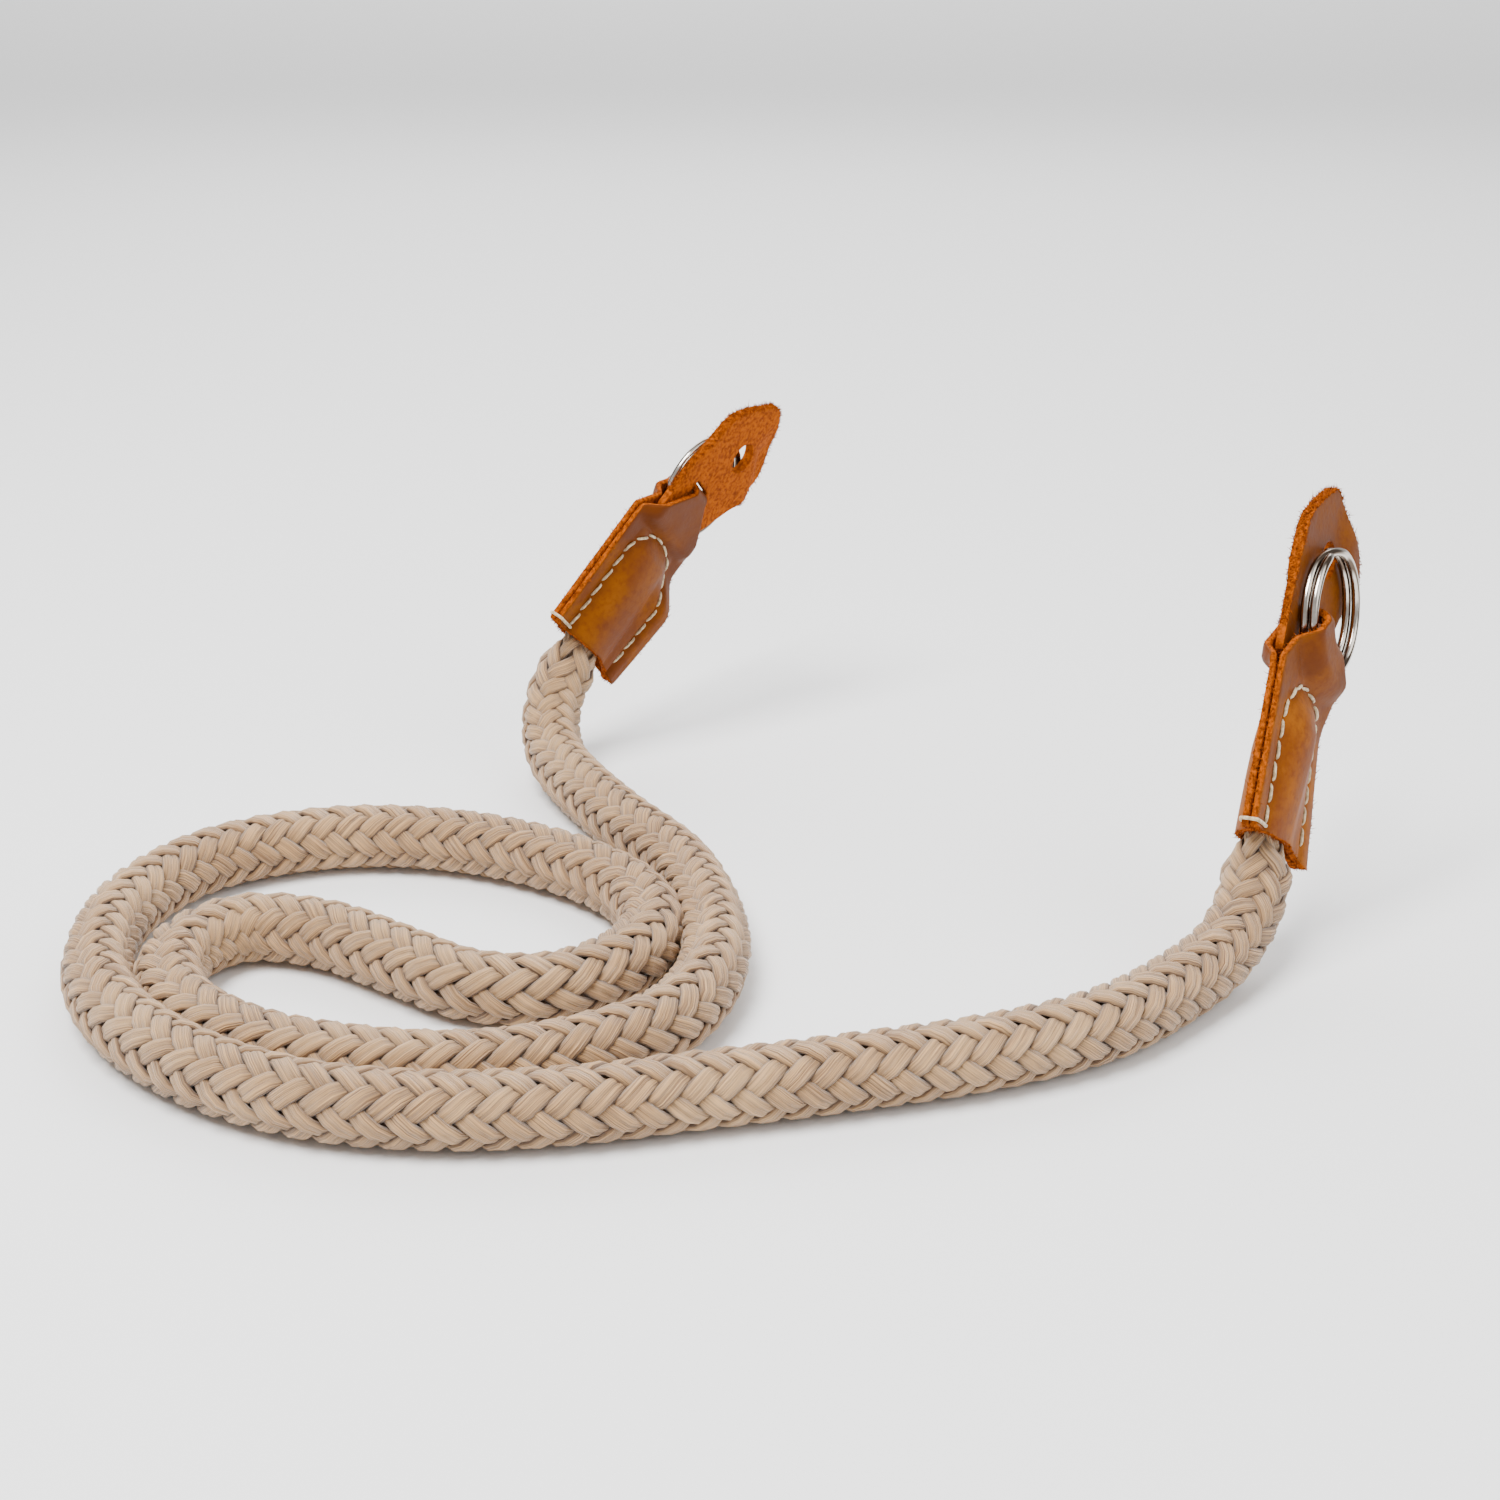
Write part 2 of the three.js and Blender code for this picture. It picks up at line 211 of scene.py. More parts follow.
def threadLook():
    m, t, p = shade("threadLook", 0.6, sheen=0.3)
    ply, height = mottle(t, yarn["ply"], low=0.35, high=0.65)
    t.links.new(blendColor(t, ply, yarn["deep"], yarn["pale"]), p.inputs["Base Color"])
    bump(t, height, 0.5, yarn["relief"], p)
    return m


def nickel():
    m, t, p = shade("nickel", 0.16, metal=1.0)
    flank = node(t, "LayerWeight").outputs["Facing"]
    reflectionBand = node(t, "Math", operation="MULTIPLY")  # painted reflection: a dark band along the wire, set by how the surface faces the view
    t.links.new(ramp(t, flank, 0.22, 0.34), reflectionBand.inputs[0])
    t.links.new(ramp(t, flank, 0.5, 0.62, 1, 0), reflectionBand.inputs[1])
    c = blendColor(t, mottle(t, plating["patches"], 4, 0.2, 0.8)[0], plating["dull"], plating["bright"])
    t.links.new(blendColor(t, reflectionBand.outputs[0], c, plating["reflected"]), p.inputs["Base Color"])
    t.links.new(mottle(t, plating["patches"], 4, least=0.1, most=0.24)[0], p.inputs["Roughness"])
    return m


def floorWhite():
    m, t, p = shade("floorWhite", backdrop["rough"])
    p.inputs["Base Color"].default_value = (*backdrop["color"], 1)
    return m


looks = dict(fibre=ropeFibre(), face=leatherFace(), edge=leatherEdge(), thread=threadLook(), nickel=nickel(),
             floor=floorWhite())
print("materials", len(looks))


def solid(name, verts, faces, slots, kinds=None):
    me = bpy.data.meshes.new(name)
    me.from_pydata([tuple(v) for v in verts], [], faces)
    for s in slots:
        me.materials.append(looks[s])
    if kinds is not None:
        me.polygons.foreach_set("material_index", kinds)
    me.polygons.foreach_set("use_smooth", [True] * len(me.polygons))
    me.update()
    o = bpy.data.objects.new(name, me)
    bpy.context.collection.objects.link(o)
    return o


def tube(points, radius, sides):
    p = np.asarray(points, float)
    n = len(p)
    t = np.gradient(p, axis=0)
    t /= np.linalg.norm(t, axis=1, keepdims=True)
    a = np.cross(t[0], (0.3, 0.5, 0.8))  # any direction that isn't along the line
    a /= np.linalg.norm(a)
    verts = []
    r = np.broadcast_to(radius, n)
    for i in range(n):
        a = a - t[i] * (a @ t[i])
        a /= np.linalg.norm(a)
        b = np.cross(t[i], a)
        for k in range(sides):
            q = 2 * math.pi * k / sides
            verts.append(p[i] + r[i] * (math.cos(q) * a + math.sin(q) * b))
    faces = [(i * sides + k, i * sides + (k + 1) % sides, (i + 1) * sides + (k + 1) % sides, (i + 1) * sides + k)
             for i in range(n - 1) for k in range(sides)]
    faces += [tuple(range(sides))[::-1], tuple((n - 1) * sides + k for k in range(sides))]
    return verts, faces


def handed(faces, e):  # the left end is a mirror image, so its faces turn round
    return faces if e["side"] > 0 else [f[::-1] for f in faces]


# the two ends; each is drawn flat: x across, y inward, u up from the mouth of the sleeve
ring = dict(r=10.2, wire=1.46, pitch=1.56, x=5.2, out=1.5, up=42.9, hang=52.1, yaw=math.radians(2),
            steps=221, sides=14, start=130, gap=14, cross=0.46, crossOver=0.08, tip=0.75, tipOver=0.012)
ends = dict(
    right=dict(side=1, hang=(0, 0, 0), turn=(58.9, -6.24, 34.0), flare=0),
    left=dict(side=-1, hang=(-101.7, 79.8, -2.4), turn=(-127.9, -16.6, -42.5), flare=5.2))


def endFrame(e):
    z, x, y = (math.radians(a) for a in e["turn"])
    r = Matrix.Rotation(z, 3, "Z") @ Matrix.Rotation(x, 3, "X") @ Matrix.Rotation(y, 3, "Y")
    return np.array(r), np.array(e["hang"], float)


def toWorld(pts, e):
    r, hang = endFrame(e)
    local = (np.asarray(pts, float) - (ring["x"], -ring["out"], ring["hang"])) * (e["side"], 1, 1)
    return (local @ r.T + hang) * mm


def toLocal(pts, e):
    r, hang = endFrame(e)
    return ((np.asarray(pts) / mm - hang) @ r) * (e["side"], 1, 1) + (ring["x"], -ring["out"], ring["hang"])


# loose fibres on a raw edge; rings are shares of the length with their radii
fuzz = dict(spread=0.75, shortest=0.2, longest=0.75, sag=0.5, rings=((-0.3, 0.075), (0.55, 0.055)),
            corners=(0, 2.1, 4.2))


def buildFuzz(name, spots, e, perSpot):
    verts, faces = [], []
    for (p0, q0, away0), (p1, q1, _) in zip(spots, spots[1:]):
        for _ in range(perSpot):
            along, across = rng.uniform(0, 1), rng.uniform(-0.05, 1.05)
            root = mix(mix(p0, p1, along), mix(q0, q1, along), across)
            grow = away0 + fuzz["spread"] * rng.standard_normal(3)
            grow /= np.linalg.norm(grow)
            side = np.cross(grow, rng.standard_normal(3))
            side /= np.linalg.norm(side)
            other, far = np.cross(grow, side), rng.uniform(fuzz["shortest"], fuzz["longest"])
            sag = fuzz["sag"] * far * rng.standard_normal(3)
            k = len(verts)
            for w, r in fuzz["rings"]:
                mid = root + grow * far * w + sag * w * w
                for q in fuzz["corners"]:
                    verts.append(mid + r * (math.cos(q) * side + math.sin(q) * other))
            verts.append(root + grow * far + sag)
            for j in range(3):
                n = (j + 1) % 3
                faces += [(k + j, k + n, k + 3 + n, k + 3 + j), (k + 3 + j, k + 3 + n, k + 6)]
            faces.append((k + 2, k + 1, k))
    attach(solid(name, toWorld(verts, e), handed(faces, e), ["edge"]), "strap")


# tab: one strip of leather, folded through the ring; sleeve rows are u, height in front, height behind
tab = dict(half=12.25, shoulder=30.5, neck=2.6, foot=39.4, apex=41.7, t=1.2, seam=8.25, layer=0.7,
           top=28.3, cornerOut=1.8, cornerIn=0.9, hem=2.9, hemDrop=2.4)
sleeve = [(0, 2.8, 5.4), (6, 3.2, 5.3), (12, 3.8, 5.2), (17, 4.2, 5.0), (21, 4.3, 4.5), (24, 3.4, 4.0),
          (26.5, 1.9, 2.4), (28.3, 1.3, 1.3)]
lower = dict(lean=1.7, leanTo=22, leanX=3, leanOver=8, backX=5, backOver=3.2, flareTo=17, flareOver=9)
front = dict(archFar=1.15, archNear=2.4, push=1.5, pushFrom=23, pushOver=9, pushX=1, cover=1.02,
             reach=5.0, reachOver=3.9, pit=2.2, pitReach=3.0)
back = dict(arch=2.6, cover=1.05, early=0.3, riseOver=3)
seamLine = dict(straightTo=23.5, archAt=20.5, archShare=1.05)
sheet = dict(across=61, along=74, fold=18, groove=0.22, grooveWide=0.75, seamTo=29.5, soft=0.16, softShare=0.06,
             wave=0.05, waveScale=1.1, waveSeed=3, behindShift=40, layers=4, fray=0.055, swell=0.14,
             fuzzPerSpot=4)
# darker patches on the tab; on the left end also a painted shadow
darkening = dict(bulge=0.85, bulgeX=8, bulgeU=32, bulgeWide=6, bulgeTall=7, upper=0.6, upperFrom=20, upperWide=3,
            upperTall=5, seam=0.2, seamWide=0.8, leftShare=0.6, leftShadow=0.45)
plate = dict(t=1.4, disc=12.3, hole=3.1, foot=31.6, tail=8.5, waist=0.6, gap=0.3, round=0.16,
             uneven=0.006, chance=0.005, cutU=1.4, cutX=1.6, curl=0.3, curlFrom=53.0, dish=1.4, dishX=1,
             dishOver=7, dishTop=57, dishTopOver=8, dishClear=3.5, swell=0.6, swellFrom=43, swellOver=5,
             darkAndShadow=0.62, rimPoints=93, rimStep=0.28, fuzzUp=0.8, fuzzPerSpot=8)
slot = dict(half=2.85, low=39.6, high=42.0)
skin = tab["t"] / 2
wireOut = (ring["pitch"] + ring["wire"]) / 2  # half the depth of the ring's two turns
slope = math.tan(ring["yaw"])
plateFront = wireOut - ring["out"] + plate["gap"]
plateBack = plateFront + plate["t"]


def halfWidth(u):
    return mix(tab["half"], tab["neck"], np.clip((u - tab["shoulder"]) / (tab["foot"] - tab["shoulder"]), 0, 1))


def sleeveHeight(u, k):
    return np.interp(u, [r[0] for r in sleeve], [r[k] for r in sleeve])


def lean(x, u):  # the lower corner that leans outward
    return lower["lean"] * np.clip(1 - u / lower["leanTo"], 0, 1) * ease((x - lower["leanX"]) / lower["leanOver"])


def frontOut(x, u):  # how far the front sheet stands out of the middle plane
    arch = 1 - np.clip(np.abs(x) / tab["seam"], 0, 1) ** np.where(x > 0, front["archFar"], front["archNear"])
    push = front["push"] * ease((u - front["pushFrom"]) / front["pushOver"]) \
        * ease((x - front["pushX"]) / tab["half"]) + lean(x, u)
    low = tab["layer"] + np.maximum(0, sleeveHeight(u, 1) - skin - tab["layer"]) * arch + push
    r = np.hypot(x - ring["x"], u - ring["up"])
    over = ring["out"] + wireOut + front["cover"] + (x - ring["x"]) * slope
    low = mix(low, over, ease((ring["r"] + front["reach"] - r) / front["reachOver"]))
    return mix(low, front["pit"], ease((ring["r"] - front["pitReach"] - r) / front["pitReach"]))


def backIn(x, u):  # how far the back sheet stands in
    arch = 1 - np.clip(np.abs(x) / tab["seam"], 0, 1) ** back["arch"]
    inward = lean(x, u) * ease((x - lower["backX"]) / lower["backOver"])
    low = tab["layer"] + np.maximum(0, sleeveHeight(u, 2) - skin - tab["layer"]) * arch - inward
    behind = plateBack + back["cover"] - (x - ring["x"]) * slope
    flank = 1 - ease((np.abs(x) - plate["tail"] - back["early"]) / (tab["half"] - plate["tail"]))
    return mix(low, behind, ease((u - tab["top"] + back["early"]) / back["riseOver"]) * flank)


def flareIn(x, u, e):
    return e["flare"] * ease((x - tab["half"] / 3) / (tab["half"] / 2)) * (
        1 - ease((u - lower["flareTo"]) / lower["flareOver"]))


def seamDistance(x, u):
    side = np.abs(np.abs(x) - tab["seam"])
    arch = np.hypot(x, (u - seamLine["archAt"]) * seamLine["archShare"])
    return np.where(u < seamLine["straightTo"], side, np.abs(arch - tab["seam"]))


def rim(x):  # lower hem, with rounded corners
    corner = np.where(x > 0, tab["cornerOut"], tab["cornerIn"])
    past = np.maximum(0, np.abs(x) - tab["half"] + corner)
    hem = tab["hem"] - tab["hemDrop"] * np.maximum(0, x / tab["half"]) ** 2
    return hem + corner - np.sqrt(np.maximum(0, corner ** 2 - past ** 2))


def buildTab(name, e):
    cols = np.linspace(-1, 1, sheet["across"])

    def panel(f):
        rows = []
        for s in np.linspace(0, 1, sheet["along"]):
            u = mix(rim(cols * tab["half"]), tab["foot"], s)
            x = cols * halfWidth(u)
            rows.append(np.stack([x, f(x, u), u], 1))
        return np.array(rows)

    outside = panel(lambda x, u: flareIn(x, u, e) - frontOut(x, u))
    inside = panel(lambda x, u: flareIn(x, u, e) + backIn(x, u))[::-1]
    rise = tab["apex"] - skin - tab["foot"]
    half = (inside[0][:, 1] - outside[-1][:, 1]) / 2
    fold = [np.stack([outside[-1][:, 0], outside[-1][:, 1] + half * (1 - math.cos(a)),
                      outside[-1][:, 2] + rise * math.sin(a)], 1)
            for a in np.linspace(0, math.pi, sheet["fold"])[1:-1]]
    g = np.concatenate([outside, np.array(fold), inside])
    rows, n = g.shape[:2]
    du, dv = np.gradient(g, axis=0), np.gradient(g, axis=1)
    nor = np.cross(dv, du)
    nor /= np.linalg.norm(nor, axis=2, keepdims=True)
    x, u = g[..., 0], g[..., 2]
    groove = np.zeros(x.shape)  # the thread is drawn into the leather
    for part in (slice(0, len(outside)), slice(rows - len(inside), rows)):
        d = seamDistance(x[part], u[part])
        groove[part] = sheet["groove"] * np.exp(-(d / sheet["grooveWide"]) ** 2) * (u[part] < sheet["seamTo"])
    edge = np.minimum(1 - np.abs(np.linspace(-1, 1, n)), sheet["softShare"])[None, :] / sheet["softShare"]
    soft = sheet["soft"] * (1 - edge ** 0.5)
    shift = sheet["behindShift"] * (np.arange(rows)[:, None] > rows / 2)
    wave = sheet["wave"] * ripple(x + shift, u, sheet["waveScale"], sheet["waveSeed"])
    outer = g + nor * (skin - groove - soft + wave)[..., None]
    inner = g - nor * (skin - soft)[..., None]
    layers = sheet["layers"]  # cells across the thickness of the raw edge
    verts, at = [], {}

    def add(key, p):
        at[key] = len(verts)
        verts.append(p)

    for i in range(rows):
        for j in range(n):
            add((0, i, j), outer[i, j])
            add((layers, i, j), inner[i, j])
    rimCells = [(i, 0) for i in range(rows)] + [(rows - 1, j) for j in range(1, n)] \
        + [(i, n - 1) for i in range(rows - 2, -1, -1)] + [(0, j) for j in range(n - 2, 0, -1)]
    spots = []
    for i, j in rimCells:
        away = dv[i, j] * (-1 if j == 0 else 1 if j == n - 1 else 0) / max(1e-6, np.linalg.norm(dv[i, j]))
        if i in (0, rows - 1):
            away = away + du[i, j] * (-1 if i == 0 else 1) / max(1e-6, np.linalg.norm(du[i, j]))
        spots.append((outer[i, j], inner[i, j], away))
        for k in range(1, layers):
            w = k / layers
            rough = sheet["fray"] * rng.standard_normal() + sheet["swell"] * math.sin(w * math.pi)
            add((k, i, j), outer[i, j] * (1 - w) + inner[i, j] * w + away * rough)
    faces, kinds = [], []
    for i in range(rows - 1):
        for j in range(n - 1):
            faces.append((at[0, i, j], at[0, i, j + 1], at[0, i + 1, j + 1], at[0, i + 1, j]))
            faces.append((at[layers, i, j], at[layers, i + 1, j], at[layers, i + 1, j + 1], at[layers, i, j + 1]))
            kinds += [0, 1]
    for a, b in zip(rimCells, rimCells[1:] + rimCells[:1]):
        for k in range(layers):
            faces.append((at[k, *a], at[k, *b], at[k + 1, *b], at[k + 1, *a]))
            kinds.append(1)
    o = solid(name, toWorld(verts, e), handed(faces, e), ["face", "edge"], kinds)
    local = np.array(verts)
    lx, lu = local[:, 0], local[:, 2]
    # darker on the bulge, above the seam's arch and along the seams
    bulge = darkening["bulge"] * np.exp(-((lx - darkening["bulgeX"]) / darkening["bulgeWide"]) ** 2
                                   - ((lu - darkening["bulgeU"]) / darkening["bulgeTall"]) ** 2)
    upper = darkening["upper"] * ease((np.hypot(lx, lu - seamLine["archAt"]) - tab["seam"]) / darkening["upperWide"]) \
        * ease((lu - darkening["upperFrom"]) / darkening["upperTall"])
    seam = darkening["seam"] * np.exp(-(seamDistance(lx, lu) / darkening["seamWide"]) ** 2)
    darkAndShadow = np.clip(np.maximum(bulge, upper) + seam, 0, 1).astype(np.float32)
    # painted shadow: the whole left end is darkened
    if e["side"] < 0:
        darkAndShadow = np.clip(darkening["leftShare"] * darkAndShadow + darkening["leftShadow"], 0, 1)
    o.data.attributes.new("darkAndShadow", "FLOAT", "POINT").data.foreach_set("value", darkAndShadow)
    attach(o, "strap")
    buildFuzz("rawEdge_" + name.split("_")[1], spots, e, sheet["fuzzPerSpot"])
    return o


# stitches, and the thread that is wrapped round the near side
stitch = dict(start=3.4, straightTo=22.5, bend=22.4, archTall=6.0, end=1.2, step=0.1, first=0.4, pitch=3.5,
              last=3, margin=0.25, length=2.95, slant=0.16, rise=0.32, sunk=0.38, proud=0.12, radius=0.28,
              thin=0.35, points=9, sides=8)
wrap = dict(radius=0.3, points=[
    (-8.3, -1.5, 3.7), (-9.6, -1.62, 3.7), (-11.4, -1.6, 3.7), (-12.3, -1.3, 3.8), (-12.55, -0.6, 3.8),
    (-12.55, 0.6, 3.8), (-12.3, 1.3, 3.8), (-11.4, 1.6, 3.7), (-9.6, 1.62, 3.7), (-8.3, 1.6, 3.7)])


def buildStitches(name, e):
    line = [(-tab["seam"], u) for u in np.arange(stitch["start"], stitch["straightTo"], stitch["step"])]
    for q in np.linspace(0, math.pi, 200):
        line.append((-tab["seam"] * math.cos(q), stitch["bend"] + stitch["archTall"] * math.sin(q)))
    line += [(tab["seam"], u) for u in np.arange(22.3, stitch["end"], -stitch["step"])]
    line = np.array(line)
    s = np.concatenate([[0], np.cumsum(np.linalg.norm(np.diff(line, axis=0), axis=1))])
    verts, faces = [], []

    def lay(points, radius):
        v, f = tube(points, radius, stitch["sides"])
        k = len(verts)
        verts.extend(v)
        faces.extend(tuple(a + k for a in q) for q in handed(f, e))

    for sheetOut, way in ((frontOut, 1), (backIn, -1)):
        for a in np.arange(stitch["first"], s[-1] - stitch["last"], stitch["pitch"]):
            w = np.linspace(0, 1, stitch["points"])
            slant = stitch["slant"] * way * rng.uniform(0.5, 1.5)
            at = a + stitch["margin"] + w * stitch["length"]
            x, u = np.interp(at, s, line[:, 0]), np.interp(at, s, line[:, 1])
            tx, tu = np.gradient(x), np.gradient(u)
            k = np.hypot(tx, tu)
            x, u = x - tu / k * slant * (2 * w - 1), u + tx / k * slant * (2 * w - 1)
            rise = stitch["rise"] * (1 - (2 * w - 1) ** 4) - stitch["sunk"]
            out = sheetOut(x, u) + skin + rise + stitch["proud"]
            y = flareIn(x, u, e) - way * out
            lay(np.stack([x, y, u], 1), stitch["radius"] * (1 - stitch["thin"] * (2 * w - 1) ** 4))
    lay(wrap["points"], wrap["radius"])
    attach(solid(name, toWorld(verts, e), faces, ["thread"]), "strap")


# guard: leather disc behind the ring, with a tail between the sheets of the tab
tailShape = [  # shares of the tail's half width, and of its rise to the ring
    (-0.9, 1.45), (-0.97, 1.1), (-1, 0.75), (-1, 0.42), (-1, 0.29), (-1, 0.16), (-0.95, 0.09), (-0.86, 0.05),
    (-0.66, 0), (-0.3, 0), (0, 0), (0.3, 0), (0.66, 0), (0.86, 0.05), (0.95, 0.09), (1, 0.16), (1.04, 0.3),
    (1.25, 0.5), (1.48, 0.8)]


def guardOutline():
    pts = []
    for q in np.linspace(math.radians(-32), math.radians(178), 90):
        wob = 1 + plate["uneven"] * math.sin(7 * q + 1) + plate["chance"] * rng.standard_normal()
        narrow = 1 - plate["waist"] * max(0.0, math.sin(q)) ** 2
        pts.append((ring["x"] + plate["disc"] * wob * narrow * math.cos(q),
                    ring["hang"] + plate["disc"] * wob * math.sin(q)))
    rise = ring["up"] - plate["foot"]
    return pts + [(a * plate["tail"], plate["foot"] + b * rise) for a, b in tailShape]


def guardBend(x, u, z):  # from the flat sheet to its dished shape behind the ring
    dx = x - ring["x"]
    reach = max(0.0, (u - plate["curlFrom"]) / (ring["hang"] + plate["disc"] - plate["curlFrom"]))
    clear = math.hypot(dx, u - ring["up"]) - ring["r"] - ring["wire"] / 2 - plate["gap"]
    dish = plate["dish"] * float(ease(clear / plate["dishClear"])) \
        * float(ease((dx - plate["dishX"]) / plate["dishOver"])) \
        * (1 - float(ease((u - plate["dishTop"]) / plate["dishTopOver"])))
    swell = plate["swell"] * float(ease((u - plate["swellFrom"]) / plate["swellOver"])) * (z > 0)
    y = (plateFront + plateBack) / 2 + z + swell + plate["curl"] * reach * reach - dish
    c, s = math.cos(ring["yaw"]), math.sin(ring["yaw"])
    return np.array((ring["x"] + dx * c + y * s, -dx * s + y * c, u))


def buildGuard(name, e):
    x0, u0 = ring["x"], ring["hang"]
    pts = guardOutline()
    holes = [[(x0 + plate["hole"] * math.cos(q), u0 + plate["hole"] * math.sin(q))
              for q in np.linspace(0, 2 * math.pi, 33)[:-1]],
             [(-slot["half"], slot["low"]), (slot["half"], slot["low"]), (slot["half"], slot["high"]),
              (-slot["half"], slot["high"])]]
    c = bpy.data.curves.new(name, "CURVE")
    c.dimensions, c.fill_mode = "2D", "BOTH"
    c.extrude, c.bevel_depth, c.bevel_resolution = plate["t"] / 2 - plate["round"], plate["round"], 1
    c.offset = -plate["round"]
    for loop in [pts, *holes]:
        sp = c.splines.new("POLY")
        sp.points.add(len(loop) - 1)
        for p, (x, u) in zip(sp.points, loop):
            p.co = (x, u, 0, 1)
        sp.use_cyclic_u = True
    tmp = bpy.data.objects.new(name + "Line", c)
    bpy.context.collection.objects.link(tmp)
    bpy.context.view_layer.update()
    me = bpy.data.meshes.new_from_object(tmp.evaluated_get(bpy.context.evaluated_depsgraph_get()))
    bpy.data.objects.remove(tmp)
    bm = bmesh.new()
    bm.from_mesh(me)
    bmesh.ops.remove_doubles(bm, verts=bm.verts, dist=1e-4)
    for axis, cuts in (((0, 1, 0), np.arange(plate["foot"] + 1, u0 + plate["disc"] - 0.5, plate["cutU"])),
                       ((1, 0, 0), np.arange(-6, 17, plate["cutX"]))):
        for k in cuts:  # gives the bend enough points
            geom = bm.verts[:] + bm.edges[:] + bm.faces[:]
            bmesh.ops.bisect_plane(bm, geom=geom, plane_co=Vector(axis) * float(k), plane_no=axis)
    for v in bm.verts:
        v.co = guardBend(*v.co)
    bm.normal_update()
    bmesh.ops.recalc_face_normals(bm, faces=bm.faces)
    for f in bm.faces:
        f.material_index = 0 if f.normal.y < -0.8 else 1  # smooth side in front, raw leather behind
        f.smooth = True
    for v, p in zip(bm.verts, toWorld([v.co for v in bm.verts], e)):
        v.co = p
    if e["side"] < 0:
        bmesh.ops.reverse_faces(bm, faces=bm.faces)
    me.materials.clear()  # set before to_mesh, so that the faces keep their slots
    for s in ("face", "edge"):
        me.materials.append(looks[s])
    bm.to_mesh(me)
    bm.free()
    # the guard is evenly darker
    me.attributes.new("darkAndShadow", "FLOAT", "POINT").data.foreach_set("value", [plate["darkAndShadow"]] * len(me.vertices))
    o = bpy.data.objects.new(name, me)
    bpy.context.collection.objects.link(o)
    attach(o, "strap")
    spots, half, step = [], plate["t"] / 2, plate["rimStep"]
    for (xa, ua), (xb, ub) in zip(pts[:plate["rimPoints"]], pts[1:]):
        for w in np.arange(0, 1, step / max(step, math.hypot(xb - xa, ub - ua))):
            x, u = mix(xa, xb, w), mix(ua, ub, w)
            away = np.array((x - x0, 0, plate["fuzzUp"] * max(0.0, u - u0)))
            spots.append((guardBend(x, u, -half), guardBend(x, u, half), away / np.linalg.norm(away)))
    buildFuzz("rawRim_" + name.split("_")[1], spots, e, plate["fuzzPerSpot"])
    return o


def buildRing(name, e, body):  # one wire, wound round twice
    t = np.linspace(0, 1, ring["steps"])
    q = math.radians(ring["start"]) + t * (4 * math.pi - math.radians(ring["gap"]))
    shift = ring["pitch"] * (ease((t - ring["cross"]) / ring["crossOver"]) - 0.5)
    x, y, u = ring["r"] * np.cos(q), shift, ring["r"] * np.sin(q)
    c, s = math.cos(ring["yaw"]), math.sin(ring["yaw"])
    pts = np.stack([x * c + y * s + ring["x"], -x * s + y * c - ring["out"], u + ring["up"]], 1)
    taper = np.minimum(1, ring["tip"] + (1 - ring["tip"]) * np.minimum(t, 1 - t) / ring["tipOver"])
    v, f = tube(pts, ring["wire"] / 2 * taper, ring["sides"])
    o = solid(name, toWorld(v, e), handed(f, e), ["nickel"])
    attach(o, body)
    return o


# rope: strands of both hands, two over and two under, along a route that is pressed flat in the sleeves
rope = dict(d=11.5, lead=37.0, strands=8, thick=5.8, wide=12.8, pressFrom=-2.4, pressTo=3.2, nearEnd=12,
            step=1.5, strandHalf=1.56, strandThick=0.78, mid=4.2, wave=0.74, steep=1.5, slim=0.10, loose=0.03,
            core=3.9, coreSides=10, creaseShadeAt=5.35, creaseShadeOver=1.5, creaseShadeMost=0.9, borderShade=0.6, borderFrom=0.7,
            borderOver=0.3)
strandProfile = [(-1, 0.05), (-0.82, 0.62), (-0.5, 0.96), (-0.2, 0.93), (0, 0.74), (0.2, 0.93), (0.5, 0.96),
                 (0.82, 0.62), (1, 0.05), (0.6, -0.55), (-0.6, -0.55)]  # shares of half width and thickness
strandUv = dict(length=50, next=3.7, across=0.13)
route = [
    (-10.8, -19.5, -23.8), (-13.3, -24.5, -32.0), (-15.9, -29.5, -40.3), (-18.2, -34.5, -46.5),
    (-22.9, -41.2, -50.4), (-29.0, -48.2, -51.5), (-44.1, -62.6, -51.5), (-61.2, -70.8, -51.5),
    (-83.2, -77.1, -51.5), (-104.4, -82.0, -51.5), (-123.7, -86.2, -51.5), (-141.6, -87.3, -51.5),
    (-160.1, -84.1, -51.5), (-177.5, -75.1, -51.5), (-192.0, -60.5, -51.5), (-198.8, -44.6, -51.5),
    (-199.2, -23.7, -51.5), (-189.9, -6.3, -51.5), (-170.9, 2.7, -51.5), (-149.8, 1.9, -51.5),
    (-129.9, -7.1, -51.5), (-116.9, -19.9, -51.5), (-113.1, -32.7, -51.5), (-117.6, -44.6, -51.5),
    (-127.9, -52.1, -51.5), (-140.2, -51.2, -51.5), (-152.1, -43.0, -51.5), (-166.2, -33.7, -51.5),
    (-179.4, -32.0, -51.5), (-186.8, -41.3, -51.5), (-184.2, -55.9, -51.5), (-171.8, -68.0, -51.5),
    (-154.7, -74.3, -51.5), (-137.3, -75.9, -51.5), (-122.0, -71.4, -51.5), (-109.3, -62.0, -51.5),
    (-103.3, -46.3, -51.5), (-103.6, -29.1, -51.5), (-109.3, -8.3, -51.5), (-120.6, 10.4, -51.5),
    (-129.2, 26.5, -51.4), (-133.8, 37.0, -50.7), (-135.6, 45.0, -47.8), (-134.9, 50.6, -42.6),
    (-131.5, 53.6, -36.7), (-126.1, 57.9, -29.4), (-120.6, 62.2, -22.3)]


